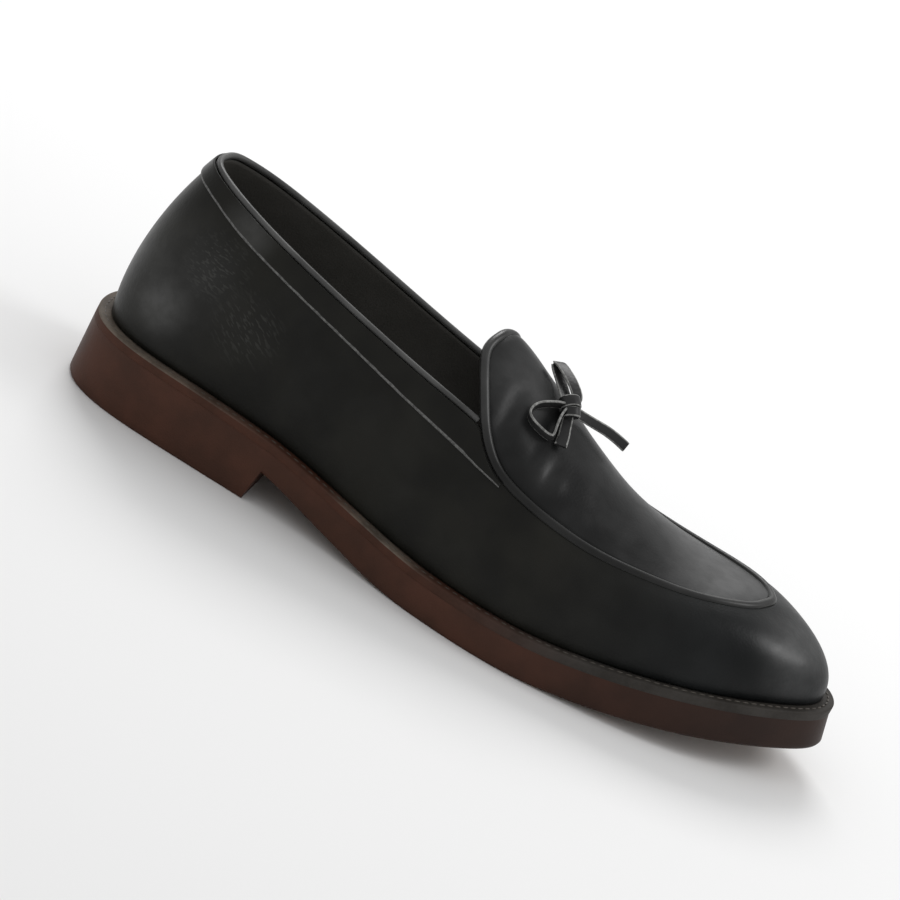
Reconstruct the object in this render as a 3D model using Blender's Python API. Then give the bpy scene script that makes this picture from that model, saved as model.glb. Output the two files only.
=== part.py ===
"""Bow loafer, a right shoe: hollow leather upper with piped apron and tongue on a welted heeled sole."""
import math

import bpy
import numpy as np

for old in list(bpy.data.objects):
    bpy.data.objects.remove(old, do_unlink=True)

# Driving sizes in millimetres: x runs along the last to the toe, y to the inner side, z up from the floor
MM = 0.001
SOLE_START = 2.0
SOLE_END = 301.5
TOE_REACH = 2.3
SOLE_MIDDLE_Y = 0.2
GAP = 0.3
WELT_LEDGE = 4.5
WELT_THICK = 4.0
INSOLE_THICK = 3.0
WALL = 2.0
APRON_THICK = 2.0
PIPING_RADIUS = 1.6
PIPING_ROOM = 2.2
PIPING_LIFT = 0.5
PIPING_STEPS = 120
APRON_STEPS = 27
BINDING_RADIUS = 1.2
BAND_THICK = 0.8
CORD_RADIUS = 1.5

# Plan of the sole: half widths to the outer and to the inner side, the toe tip lies on the inner side
# columns: x, outer, inner
OUTLINE = (
    (2.0, 0.0, 0.0),
    (4.0, 13.2, 13.2),
    (9.6, 23.2, 23.2),
    (22.8, 31.1, 31.1),
    (45.0, 34.5, 34.0),
    (80.0, 36.5, 32.5),
    (115.0, 40.0, 28.5),
    (145.0, 46.5, 30.5),
    (170.0, 51.5, 38.0),
    (195.0, 52.0, 47.5),
    (220.0, 47.5, 52.5),
    (245.0, 41.0, 50.8),
    (266.0, 32.0, 45.0),
    (282.0, 20.8, 36.2),
    (293.8, 9.2, 26.4),
    (299.6, 0.6, 18.0),
    (301.5, -8.2, 8.2),
)

# Side view of the sole: heel with a steep breast, arch, flat tread under the ball, toe spring
# columns: x, bottom, welt top
LEVELS = (
    (2.0, 0.0, 26.2),
    (40.0, 0.0, 26.1),
    (84.0, 0.0, 24.4),
    (86.0, 12.4, 24.2),
    (100.0, 9.2, 22.2),
    (120.0, 4.6, 19.0),
    (142.0, 0.7, 16.2),
    (156.0, 0.0, 15.5),
    (192.0, 0.0, 15.7),
    (216.0, 1.2, 17.4),
    (240.0, 4.3, 20.6),
    (265.0, 8.7, 24.7),
    (285.0, 12.4, 27.7),
    (301.5, 15.1, 29.8),
)

# Cross sections of the sole, at the same x on both sides
SOLE_STATIONS = (
    2.0, 2.7, 4.4, 7.8, 13.4, 22.0, 33.5, 48.0, 66.0, 84.0, 86.0, 93.0, 101.0, 109.0, 118.0, 127.0, 136.0,
    144.0, 150.0, 156.0, 174.0, 192.0, 204.0, 216.0, 228.0, 240.0, 252.0, 263.0, 273.0, 281.5, 289.0, 294.8,
    298.4, 300.7, 301.5,
)

# Collar: foot is the place along the feather line in percent of its side, heel 0 and toe 100;
# the profile starts at the feather line with a low handle and ends at the topline with a high handle
# columns: foot, x, outer y, inner y, outer z, inner z, low out, low up, high out, high up
TOPLINE = (
    (0.0, 15.1, 0.0, 0.0, 92.7, 92.7, 4.2, 19.0, 9.6, -22.0),
    (4.0, 16.7, 8.0, 8.0, 92.9, 92.8, 4.2, 19.0, 9.0, -22.0),
    (8.7, 21.7, 14.9, 14.5, 92.2, 91.8, 3.8, 19.0, 7.6, -22.0),
    (13.2, 32.2, 21.2, 20.3, 90.2, 89.4, 3.0, 18.5, 6.0, -21.0),
    (18.8, 49.2, 26.4, 25.0, 86.6, 85.4, 3.0, 18.0, 5.0, -20.0),
    (26.8, 75.4, 30.0, 28.3, 81.2, 79.4, 3.2, 17.5, 4.6, -19.0),
    (35.6, 104.5, 31.8, 29.8, 75.3, 73.0, 3.6, 17.0, 4.6, -18.0),
    (43.2, 129.6, 32.7, 30.6, 70.7, 68.1, 4.0, 16.0, 4.8, -17.0),
    (48.3, 145.8, 33.2, 31.2, 68.0, 65.3, 4.2, 15.0, 5.0, -16.0),
)

# Seam of the apron from the end of the collar to the toe; mid is the crown of the apron at that section
# columns: foot, x, outer y, inner y, outer z, inner z, low out, low up, high out, high up, mid x, mid z
SEAM = (
    (49.6, 150.1, 33.8, 31.9, 66.5, 64.1, 4.2, 14.5, 5.4, -14.0, 154.8, 85.6),
    (51.8, 156.8, 35.5, 33.5, 60.4, 59.2, 4.2, 14.0, 6.0, -11.0, 159.9, 83.0),
    (55.2, 167.9, 36.6, 34.6, 55.6, 54.6, 4.0, 13.5, 7.0, -9.0, 169.0, 78.6),
    (60.2, 184.0, 36.5, 34.8, 52.3, 51.5, 3.6, 13.0, 8.0, -7.5, 184.1, 70.3),
    (66.0, 202.0, 34.3, 33.8, 50.2, 49.8, 3.2, 12.5, 8.5, -5.5, 201.8, 61.4),
    (72.2, 220.0, 30.2, 32.0, 50.2, 49.4, 3.0, 12.5, 10.0, -3.0, 219.9, 56.8),
    (78.6, 237.0, 24.0, 29.2, 50.8, 50.2, 2.8, 12.5, 11.5, -1.2, 236.9, 54.9),
    (85.0, 250.0, 16.4, 24.4, 52.2, 51.6, 2.4, 12.0, 14.0, -0.8, 249.9, 54.4),
    (91.0, 258.8, 7.4, 17.6, 53.0, 52.6, 2.2, 11.5, 17.5, -2.0, 259.1, 54.1),
    (96.0, 262.6, -1.2, 10.2, 53.4, 53.2, 2.0, 11.5, 19.5, -2.8, 263.6, 53.6),
)

# Free tongue above the collar, from its rounded top edge down to the seam
# columns: run, outer x, inner x, outer y, inner y, outer z, inner z, mid x, mid z
TONGUE = (
    (36.0, 134.9, 137.6, 6.0, 4.0, 92.6, 91.0, 136.0, 92.4),
    (37.8, 133.8, 138.4, 11.0, 9.0, 91.0, 88.6, 137.6, 92.7),
    (39.8, 133.4, 138.6, 15.2, 13.2, 88.4, 85.8, 139.8, 92.5),
    (42.6, 136.2, 139.6, 20.9, 18.8, 83.8, 81.4, 143.8, 91.1),
    (46.0, 142.2, 143.4, 27.7, 25.6, 76.1, 73.8, 149.3, 88.6),
)

# Height of the collar band's lower edge
# columns: x, z
BAND_EDGE = (
    (0.0, 86.9),
    (15.2, 86.7),
    (38.4, 81.3),
    (67.5, 74.9),
    (95.6, 68.6),
    (115.7, 63.8),
    (141.8, 58.3),
    (162.9, 53.9),
)

# Bow of leather cord on the apron: knot and the cords' ways from it
# columns: x, y, z
BOW_KNOT = (168.6, -9.4, 82.8)
KNOT_REACH = (-2.2, 2.2, 2.4)
KNOT_RADII = (1.8, 3.2, 3.9, 4.0, 3.9, 3.2, 1.8)
LOOP_OUTER = (
    (165.2, -12.5, 83.0),
    (162.2, -15.1, 82.3),
    (159.5, -18.1, 81.3),
    (158.1, -20.3, 79.8),
    (158.1, -22.2, 77.8),
    (160.3, -22.8, 76.1),
    (163.6, -22.6, 74.9),
    (166.9, -22.2, 74.1),
    (169.0, -21.6, 74.2),
    (168.9, -20.3, 75.9),
    (168.2, -18.0, 78.4),
    (167.8, -13.9, 81.1),
)
LOOP_INNER = (
    (164.9, -4.4, 83.7),
    (159.8, 3.2, 85.5),
    (156.6, 7.4, 86.9),
    (155.6, 8.6, 88.2),
    (157.2, 6.8, 89.2),
    (160.6, 3.2, 89.0),
    (164.6, -0.6, 88.0),
    (168.6, -4.9, 85.7),
)
END_OUTER = (
    (170.1, -12.4, 79.2),
    (170.9, -14.5, 77.4),
    (172.1, -17.5, 75.0),
    (172.9, -20.4, 72.6),
)
END_INNER = (
    (170.3, -6.1, 81.3),
    (174.6, 0.0, 78.9),
    (178.4, 4.0, 77.4),
    (182.6, 8.0, 75.9),
    (186.8, 11.2, 74.2),
    (191.0, 14.0, 72.2),
)


def natural_spline(knots, values, at):
    """Natural cubic through the rows of values at the knots, read at the places in at."""
    k = np.asarray(knots, float)
    v = np.asarray(values, float)
    v = v.reshape(len(k), -1)
    h = np.diff(k)
    n = len(k)
    system = np.eye(n)
    right = np.zeros_like(v)
    for i in range(1, n - 1):
        system[i, i - 1:i + 2] = (h[i - 1], 2 * (h[i - 1] + h[i]), h[i])
        right[i] = 6 * ((v[i + 1] - v[i]) / h[i] - (v[i] - v[i - 1]) / h[i - 1])
    bend = np.linalg.solve(system, right)
    at = np.atleast_1d(np.asarray(at, float))
    i = np.clip(np.searchsorted(k, at) - 1, 0, n - 2)
    a = ((k[i + 1] - at) / h[i])[:, None]
    b = 1 - a
    step = (h[i] ** 2 / 6)[:, None]
    return a * v[i] + b * v[i + 1] + ((a ** 3 - a) * bend[i] + (b ** 3 - b) * bend[i + 1]) * step


def steady_curve(table, column, x):
    """Curve through a table's column over x that keeps flat stretches flat."""
    rows = np.asarray(table, float)
    k = rows[:, 0]
    v = rows[:, column]
    h = np.diff(k)
    slope = np.diff(v) / h
    lean = np.zeros(len(k))
    lean[0] = slope[0]
    lean[-1] = slope[-1]
    for i in range(1, len(k) - 1):
        if slope[i - 1] * slope[i] > 0:
            w1 = 2 * h[i] + h[i - 1]
            w2 = h[i] + 2 * h[i - 1]
            lean[i] = (w1 + w2) / (w1 / slope[i - 1] + w2 / slope[i])
    x = np.clip(np.asarray(x, float), k[0], k[-1])
    i = np.clip(np.searchsorted(k, x, side="right") - 1, 0, len(k) - 2)
    t = (x - k[i]) / h[i]
    blend = 3 * t ** 2 - 2 * t ** 3
    low = lean[i] * h[i] * (t ** 3 - 2 * t ** 2 + t)
    high = lean[i + 1] * h[i] * (t ** 3 - t ** 2)
    return v[i] * (1 - blend) + v[i + 1] * blend + low + high


def chord_knots(points):
    """Knots for a spline through points, spaced by the root of their distance."""
    steps = np.sqrt(np.linalg.norm(np.diff(points, axis=0), axis=1))
    return np.concatenate([[0.0], np.cumsum(steps)])


def unit(vectors):
    return vectors / np.linalg.norm(vectors, axis=-1, keepdims=True)


def dense_outline():
    """The sole's outline as a dense loop from the heel over the outer side, the toe and the inner side."""
    rows = np.asarray(OUTLINE)
    outer = np.column_stack([rows[:, 0], -rows[:, 1]])
    inner = np.column_stack([rows[:, 0], rows[:, 2]])
    loop = np.vstack([outer, inner[-2::-1]])
    turns = np.vstack([loop[-4:-1], loop, loop[1:4]])
    knots = chord_knots(turns)
    return natural_spline(knots, turns, np.linspace(knots[3], knots[-4], 4001))


DENSE = dense_outline()
DENSE_TANGENT = unit(np.gradient(DENSE, axis=0))
DENSE_OUT = np.column_stack([DENSE_TANGENT[:, 1], -DENSE_TANGENT[:, 0]])
TOE_INDEX = int(np.argmax(DENSE[:, 0]))


def welt_top(x):
    return steady_curve(LEVELS, 2, x)


def sole_bottom(x):
    return steady_curve(LEVELS, 1, x)


def sole_loop(inset):
    """Loop of points inset from the outline at the sole's stations, outer side first."""
    xs = np.asarray(SOLE_STATIONS)
    places = np.arange(len(DENSE), dtype=float)
    outer = np.interp(xs, DENSE[:TOE_INDEX + 1, 0], places[:TOE_INDEX + 1])
    inner = np.interp(xs, DENSE[TOE_INDEX:, 0][::-1], places[TOE_INDEX:][::-1])
    at = np.concatenate([outer, inner[-2:0:-1]])
    nominal = np.concatenate([xs, xs[-2:0:-1]])
    moved = DENSE - inset * DENSE_OUT
    x = np.interp(at, places, moved[:, 0])
    y = np.interp(at, places, moved[:, 1])
    return x, y, nominal


def feather(places):
    """Points and outward directions on the feather line; places run 0 heel, 100 toe, 200 heel again."""
    line = DENSE - WELT_LEDGE * DENSE_OUT
    run = np.concatenate([[0.0], np.cumsum(np.linalg.norm(np.diff(line, axis=0), axis=1))])
    toe = run[TOE_INDEX]
    scale = np.where(run <= toe, 100 * run / toe, 100 + 100 * (run - toe) / (run[-1] - toe))
    at = np.mod(places, 200.0)
    foot = np.column_stack([np.interp(at, scale, line[:, i]) for i in (0, 1)])
    out = unit(np.column_stack([np.interp(at, scale, DENSE_OUT[:, i]) for i in (0, 1)]))
    height = welt_top(foot[:, 0]) + GAP
    return np.column_stack([foot, height]), np.column_stack([out, np.zeros(len(out))])


def side_rows(table, side):
    """Rows foot, x, y, z and the four handle values of one side of a collar or seam table."""
    rows = np.asarray(table)
    sign = -1.0 if side == "outer" else 1.0
    y = sign * rows[:, 2 if side == "outer" else 3]
    z = rows[:, 4 if side == "outer" else 5]
    foot = rows[:, 0] if side == "outer" else 200.0 - rows[:, 0]
    return np.column_stack([foot, rows[:, 1], y, z, rows[:, 6:10]])


def collar_nodes():
    """Nodes of the topline from its inner end round the heel to its outer end."""
    inner = side_rows(TOPLINE, "inner")[::-1]
    inner[:, 0] -= 200.0
    return np.vstack([inner[:-1], side_rows(TOPLINE, "outer")])


def seam_nodes():
    """Nodes of the apron's seam from the outer end round the toe to the inner end."""
    front = np.asarray(SEAM[-1])
    middle_y = (front[3] - front[2]) / 2
    tip = np.concatenate([[100.0, front[10], middle_y, front[11]], front[6:10]])
    return np.vstack([side_rows(SEAM, "outer"), tip, side_rows(SEAM, "inner")[::-1]])


COLLAR_NODES = collar_nodes()
SEAM_NODES = seam_nodes()
COLLAR_END = TOPLINE[-1][0]
SEAM_START = SEAM[0][0]
APRON_RUN = np.array([row[0] for row in TONGUE + SEAM])
APRON_ROWS = np.array([row[1:] for row in TONGUE] + [row[1:2] + row[1:6] + row[10:] for row in SEAM])


def apron_points(runs, v):
    """Points of the apron: runs from the tongue's top to the toe, v from -1 outer to 1 inner edge."""
    rows = natural_spline(APRON_RUN, APRON_ROWS, runs).T
    outer_x, inner_x, outer_y, inner_y, outer_z, inner_z, mid_x, mid_z = rows
    outer = np.column_stack([outer_x, -outer_y, outer_z])
    inner = np.column_stack([inner_x, inner_y, inner_z])
    crown = np.column_stack([mid_x, (inner_y - outer_y) / 2, mid_z])
    v = np.broadcast_to(v, (len(crown),))[:, None]
    return crown + v * (inner - outer) / 2 + v ** 2 * ((outer + inner) / 2 - crown)


def apron_normals(runs, v):
    """Upward normals of the apron, read a little inside its edges."""
    runs = np.clip(runs, APRON_RUN[0] + 1.2, APRON_RUN[-1] - 1.2)
    v = np.clip(np.broadcast_to(v, runs.shape), -0.9, 0.9)
    along = apron_points(runs + 0.1, v) - apron_points(runs - 0.1, v)
    across = apron_points(runs, v + 0.02) - apron_points(runs, v - 0.02)
    return unit(np.cross(along, across))


def seam_loop():
    """Closed line of the apron's edge over tongue top, inner side, toe and outer side, with its normals."""
    first = APRON_RUN[0]
    last = APRON_RUN[-1]
    sides = np.linspace(first, last, 161)
    stretches = (
        (np.full(41, first), np.linspace(-1.0, 1.0, 41)),
        (sides[1:-1], np.full(159, 1.0)),
        (np.full(21, last), np.linspace(1.0, -1.0, 21)),
        (sides[-2:0:-1], np.full(159, -1.0)),
    )
    line = np.vstack([apron_points(runs, v) for runs, v in stretches])
    normals = np.vstack([apron_normals(runs, v) for runs, v in stretches])
    return line, normals


SEAM_LINE, SEAM_NORMAL = seam_loop()


def seam_distance(points):
    """Distance of points from the apron's edge line."""
    return np.min(np.linalg.norm(np.asarray(points)[:, None] - SEAM_LINE[None], axis=2), axis=1)


def first_near(points):
    """Fractional index up to which a row of points keeps the piping's room from the apron's edge."""
    apart = seam_distance(points)
    near = np.nonzero(apart < PIPING_ROOM)[0]
    if len(near) == 0:
        return len(points) - 1.0
    i = max(int(near[0]), 1)
    return i - (PIPING_ROOM - apart[i]) / max(apart[i - 1] - apart[i], 1e-9)


def upper_curve(places, steps):
    """Grid of the upper's outer face: a row of profile points per place, from the feather line upward."""
    foot, out = feather(places)
    collar_place = np.mod(places + 100.0, 200.0) - 100.0
    on_collar = np.abs(collar_place) <= COLLAR_END + 1e-6
    collar_place = np.clip(collar_place, -COLLAR_END, COLLAR_END)
    seam_place = np.clip(np.mod(places, 200.0), SEAM_START, 200.0 - SEAM_START)
    collar = natural_spline(COLLAR_NODES[:, 0], COLLAR_NODES[:, 1:], collar_place)
    seam = natural_spline(SEAM_NODES[:, 0], SEAM_NODES[:, 1:], seam_place)
    rows = np.where(on_collar[:, None], collar, seam)
    edge = rows[:, :3]
    up = np.array([0.0, 0.0, 1.0])
    low = foot + out * rows[:, 3:4] + up * rows[:, 4:5]
    high = edge + out * rows[:, 5:6] + up * rows[:, 6:7]
    fine = np.linspace(0.0, 1.0, 121)[:, None]
    grid = np.empty((len(foot), len(steps), 3))
    for i in range(len(foot)):
        line = (1 - fine) ** 3 * foot[i] + 3 * fine * (1 - fine) ** 2 * low[i]
        line = line + 3 * fine ** 2 * (1 - fine) * high[i] + fine ** 3 * edge[i]
        run = np.concatenate([[0.0], np.cumsum(np.linalg.norm(np.diff(line, axis=0), axis=1))])
        length = np.interp(first_near(line), np.arange(len(run)), run)
        for n in range(3):
            grid[i, :, n] = np.interp(np.asarray(steps) * length, run, line[:, n])
    return grid


def ring_normals(grid):
    """Outward normals of a closed ring of profiles."""
    along = np.roll(grid, -1, axis=0) - np.roll(grid, 1, axis=0)
    rise = np.gradient(grid, axis=1)
    return unit(np.cross(along, rise))


def patch_normals(grid):
    """Normals of an open patch, its first axis crossed with its second."""
    return unit(np.cross(np.gradient(grid, axis=0), np.gradient(grid, axis=1)))


def material(name, colour, roughness):
    """Principled material with a plain colour."""
    made = bpy.data.materials.new(name)
    made.use_nodes = True
    shader = made.node_tree.nodes["Principled BSDF"]
    shader.inputs["Base Color"].default_value = (*colour, 1.0)
    shader.inputs["Roughness"].default_value = roughness
    shader.inputs["Metallic"].default_value = 0.0
    return made


BLACK_LEATHER = material("black_leather", (0.013, 0.013, 0.014), 0.42)
APRON_LEATHER = material("apron_leather", (0.017, 0.017, 0.018), 0.38)
PIPING_LEATHER = material("piping_leather", (0.030, 0.030, 0.031), 0.36)
CORD_LEATHER = material("cord_leather", (0.026, 0.026, 0.027), 0.45)
LINING_LEATHER = material("lining_leather", (0.010, 0.010, 0.010), 0.60)
WELT_LEATHER = material("welt_leather", (0.085, 0.066, 0.054), 0.62)
BROWN_RUBBER = material("brown_rubber", (0.058, 0.030, 0.022), 0.55)

SHOE = bpy.data.objects.new("bow_loafer", None)
bpy.context.scene.collection.objects.link(SHOE)
SHOE.location = (-(SOLE_START + SOLE_END + TOE_REACH) / 2 * MM, -SOLE_MIDDLE_Y * MM, 0.0)


def solid(name, points, faces, look):
    """Mesh object from points in millimetres, placed with the shoe."""
    mesh = bpy.data.meshes.new(name)
    mesh.from_pydata([tuple(p) for p in np.asarray(points, float) * MM], [], faces)
    mesh.materials.append(look)
    mesh.validate()
    mesh.update()
    body = bpy.data.objects.new(name, mesh)
    bpy.context.scene.collection.objects.link(body)
    body.parent = SHOE
    return body


def plate(name, levels, look):
    """Closed plate on the sole's stations: loops from the bottom up, joined by walls, capped across."""
    count = len(levels[0])
    half = len(SOLE_STATIONS) - 1
    points = np.vstack(levels)
    faces = []
    for level in range(len(levels) - 1):
        base = level * count
        for i in range(count):
            j = (i + 1) % count
            faces.append((base + i, base + j, base + count + j, base + count + i))
    for base, top in ((0, False), ((len(levels) - 1) * count, True)):
        for i in range(half):
            ring = [i, i + 1, (count - i - 1) % count, (count - i) % count]
            ring = [base + k for n, k in enumerate(ring) if k not in ring[:n]]
            faces.append(tuple(ring) if top else tuple(reversed(ring)))
    return solid(name, points, faces, look)


def flat_level(inset, height):
    """One loop of a plate at its inset, with the height read at the stations."""
    x, y, nominal = sole_loop(inset)
    return np.column_stack([x, y, height(nominal)])


def laid_level(inset, height):
    """One loop of a plate at its inset, with the height read where the loop lies."""
    x, y, _ = sole_loop(inset)
    return np.column_stack([x, y, height(x)])


def grid_faces(rows, columns, start, closed, turned):
    """Quads over a grid of points stored row by row."""
    faces = []
    for i in range(rows if closed else rows - 1):
        for j in range(columns - 1):
            a = start + i * columns + j
            b = start + ((i + 1) % rows) * columns + j
            quad = (a, b, b + 1, a + 1)
            faces.append(tuple(reversed(quad)) if turned else quad)
    return faces


def ring_shell(name, outer, inner, look):
    """Closed ring with an outer and an inner face, open through the middle."""
    rows, columns = outer.shape[:2]
    points = np.vstack([outer.reshape(-1, 3), inner.reshape(-1, 3)])
    shift = rows * columns
    faces = grid_faces(rows, columns, 0, True, False) + grid_faces(rows, columns, shift, True, True)
    for i in range(rows):
        j = (i + 1) % rows
        a = i * columns
        b = j * columns
        faces.append((b, a, shift + a, shift + b))
        faces.append((a + columns - 1, b + columns - 1, shift + b + columns - 1, shift + a + columns - 1))
    return solid(name, points, faces, look)


def patch_shell(name, outer, inner, look):
    """Closed sheet with two faces and a border all round."""
    rows, columns = outer.shape[:2]
    points = np.vstack([outer.reshape(-1, 3), inner.reshape(-1, 3)])
    shift = rows * columns
    faces = grid_faces(rows, columns, 0, False, False) + grid_faces(rows, columns, shift, False, True)
    last = (rows - 1) * columns
    border = [j for j in range(columns - 1)]
    border += [i * columns + columns - 1 for i in range(rows - 1)]
    border += [last + j for j in range(columns - 1, 0, -1)]
    border += [i * columns for i in range(rows - 1, 0, -1)]
    for a, b in zip(border, border[1:] + border[:1]):
        faces.append((a, b, shift + b, shift + a))
    return solid(name, points, faces, look)


def tube(name, path, radii, sides, closed, look):
    """Round tube along a path of points; an open one has flat ends."""
    path = np.asarray(path, float)
    count = len(path)
    if closed:
        tangent = unit(np.roll(path, -1, axis=0) - np.roll(path, 1, axis=0))
    else:
        tangent = unit(np.gradient(path, axis=0))
    radii = np.broadcast_to(radii, (count,))
    aside = np.cross(tangent[0], (0.0, 0.0, 1.0))
    points = []
    for i in range(count):
        if closed:
            aside = np.cross(tangent[i], (0.0, 0.0, 1.0))
        aside = aside - tangent[i] * np.dot(aside, tangent[i])
        aside = aside / np.linalg.norm(aside)
        upward = np.cross(aside, tangent[i])
        for k in range(sides):
            turn = 2 * math.pi * k / sides
            points.append(path[i] + radii[i] * (math.cos(turn) * aside + math.sin(turn) * upward))
    faces = []
    for i in range(count if closed else count - 1):
        j = (i + 1) % count
        for k in range(sides):
            m = (k + 1) % sides
            faces.append((i * sides + k, j * sides + k, j * sides + m, i * sides + m))
    if not closed:
        faces.append(tuple(range(sides)))
        faces.append(tuple(range(count * sides - 1, (count - 1) * sides - 1, -1)))
    return solid(name, points, faces, look)


def smooth_path(nodes, count):
    """Evenly spaced points on a spline through a few nodes."""
    nodes = np.asarray(nodes, float)
    knots = chord_knots(nodes)
    line = natural_spline(knots, nodes, np.linspace(0.0, knots[-1], 400))
    run = np.concatenate([[0.0], np.cumsum(np.linalg.norm(np.diff(line, axis=0), axis=1))])
    even = np.linspace(0.0, run[-1], count)
    return np.column_stack([np.interp(even, run, line[:, i]) for i in range(3)])


# Outsole: rubber unit with heel, arch and toe spring, its lower edge rounded in
TREAD_INSET = 1.3
EDGE_INSET = 0.6
EDGE_RISE = 0.9
SIDE_INSET = 0.3
LEAN_START = 216.0


def side_height(share):
    """Height at a share of the outsole's side."""
    return lambda x: sole_bottom(x) + share * (welt_top(x) - WELT_THICK - GAP - sole_bottom(x))


TOE_WALL = side_height(1.0)(SOLE_END) - sole_bottom(SOLE_END) - EDGE_RISE
TOE_LEAN = (TOE_REACH + EDGE_INSET) / TOE_WALL


def sprung_level(inset, height):
    """One loop of the outsole, moved forward at the toe so that its wall stands square on the tread."""
    points = flat_level(inset, height)
    nominal = sole_loop(inset)[2]
    lean = TOE_LEAN * np.clip((nominal - LEAN_START) / (SOLE_END - LEAN_START), 0.0, 1.0)
    points[:, 0] += lean * (side_height(1.0)(nominal) - points[:, 2])
    return points


plate("outsole", (
    sprung_level(TREAD_INSET, sole_bottom),
    sprung_level(EDGE_INSET, lambda x: sole_bottom(x) + EDGE_RISE),
    sprung_level(SIDE_INSET, side_height(0.5)),
    sprung_level(0.0, side_height(1.0)),
), BROWN_RUBBER)

# Welt: leather midsole plate, its rim stands out round the upper
WELT_ROUND = 0.5
plate("welt", (
    flat_level(WELT_ROUND, lambda x: welt_top(x) - WELT_THICK),
    flat_level(0.0, lambda x: welt_top(x) - WELT_THICK + WELT_ROUND),
    flat_level(0.0, lambda x: welt_top(x) - WELT_ROUND),
    flat_level(WELT_ROUND, welt_top),
), WELT_LEATHER)

# Insole: board inside the upper's wall
INSOLE_ROOM = 0.9
INSOLE_INSET = WELT_LEDGE + WALL + INSOLE_ROOM
plate("insole", (
    laid_level(INSOLE_INSET, lambda x: welt_top(x) + GAP),
    laid_level(INSOLE_INSET, lambda x: welt_top(x) + GAP + INSOLE_THICK),
), LINING_LEATHER)

# Upper: one lasted shell of quarters and vamp, open at the collar, over the apron and underneath
VAMP_START = 58.0
COLLAR_PLACES = np.linspace(-COLLAR_END, COLLAR_END, 37)
THROAT_PLACES = np.linspace(SEAM_START, VAMP_START, 8)
OUTER_PLACES = np.concatenate([THROAT_PLACES[:-1], np.linspace(VAMP_START, 100.0, 18)])
SEAM_PLACES = np.concatenate([OUTER_PLACES, 200.0 - OUTER_PLACES[-2::-1]])
UPPER_PLACES = np.concatenate([COLLAR_PLACES, SEAM_PLACES])
UPPER_STEPS = np.linspace(0.0, 1.0, 10)
outer_face = upper_curve(UPPER_PLACES, UPPER_STEPS)
outward = ring_normals(outer_face)
inner_face = outer_face - WALL * outward
inner_face[:, 0, 2] = welt_top(inner_face[:, 0, 0]) + GAP
ring_shell("upper", outer_face, inner_face, BLACK_LEATHER)

# Collar band: strip sewn on the quarters below the topline, it runs out at the apron's seam
BAND_REACH = 53.6
BAND_DROP = 0.5
BAND_LEAST = 0.03
BAND_STEPS = 4
band_places = np.concatenate([
    np.linspace(200.0 - BAND_REACH, 200.0 - SEAM_START, 4) - 200.0,
    COLLAR_PLACES,
    np.linspace(SEAM_START, BAND_REACH, 4),
])
fine_steps = np.linspace(0.0, 1.0, 81)
fine_grid = upper_curve(band_places, fine_steps)
fine_normal = patch_normals(fine_grid)
band_inner = np.empty((len(band_places), BAND_STEPS, 3))
band_outer = np.empty((len(band_places), BAND_STEPS, 3))
for i, profile in enumerate(fine_grid):
    above = profile[:, 2] - steady_curve(BAND_EDGE, 1, profile[:, 0])
    low = np.interp(0.0, above, fine_steps)
    top = 1.0 - BAND_DROP / np.sum(np.linalg.norm(np.diff(profile, axis=0), axis=1))
    for k, step in enumerate(np.linspace(min(low, top - BAND_LEAST), top, BAND_STEPS)):
        place = np.array([np.interp(step, fine_steps, profile[:, n]) for n in range(3)])
        away = np.array([np.interp(step, fine_steps, fine_normal[i, :, n]) for n in range(3)])
        band_inner[i, k] = place + GAP * away
        band_outer[i, k] = place + (GAP + BAND_THICK) * away
patch_shell("collar_band", band_outer, band_inner, BLACK_LEATHER)

# Topline binding: folded leather roll on the edge of the collar
BINDING_REACH = COLLAR_END - 0.55
binding_places = np.linspace(-BINDING_REACH, BINDING_REACH, 57)
binding_grid = upper_curve(binding_places, np.linspace(0.0, 1.0, 21))
binding_normal = patch_normals(binding_grid)[:, -1]
binding_up = unit(binding_grid[:, -1] - binding_grid[:, -2])
binding_path = binding_grid[:, -1] - WALL / 2 * binding_normal + (BINDING_RADIUS + GAP) * binding_up
tube("topline_binding", binding_path, BINDING_RADIUS, 6, False, PIPING_LEATHER)

# Apron: leather plug on the instep that runs up into the free tongue, its rows closer at both ends
APRON_ACROSS = 15
APRON_CROWDING = 0.13
TONGUE_ROOM = 2.8
fine_runs = np.linspace(APRON_RUN[0], APRON_RUN[-1], 401)
crown_line = apron_points(fine_runs, 0.0)
crown_run = np.concatenate([[0.0], np.cumsum(np.linalg.norm(np.diff(crown_line, axis=0), axis=1))])
shares = np.linspace(0.0, 1.0, APRON_STEPS)
shares = shares - APRON_CROWDING * np.sin(2 * math.pi * shares)
apron_runs = np.interp(TONGUE_ROOM + shares * (crown_run[-1] - 2 * TONGUE_ROOM), crown_run, fine_runs)
half_steps = np.linspace(0.0, 1.0, 81)
apron_top = np.empty((APRON_STEPS, APRON_ACROSS, 3))
apron_under = np.empty((APRON_STEPS, APRON_ACROSS, 3))
for i, run in enumerate(apron_runs):
    runs = np.full(len(half_steps), run)
    outer_reach = first_near(apron_points(runs, -half_steps)) / (len(half_steps) - 1)
    inner_reach = first_near(apron_points(runs, half_steps)) / (len(half_steps) - 1)
    across = np.linspace(-outer_reach, inner_reach, APRON_ACROSS)
    row = np.full(APRON_ACROSS, run)
    apron_top[i] = apron_points(row, across)
    apron_under[i] = apron_top[i] - APRON_THICK * apron_normals(row, across)
patch_shell("apron", apron_top, apron_under, APRON_LEATHER)

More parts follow.
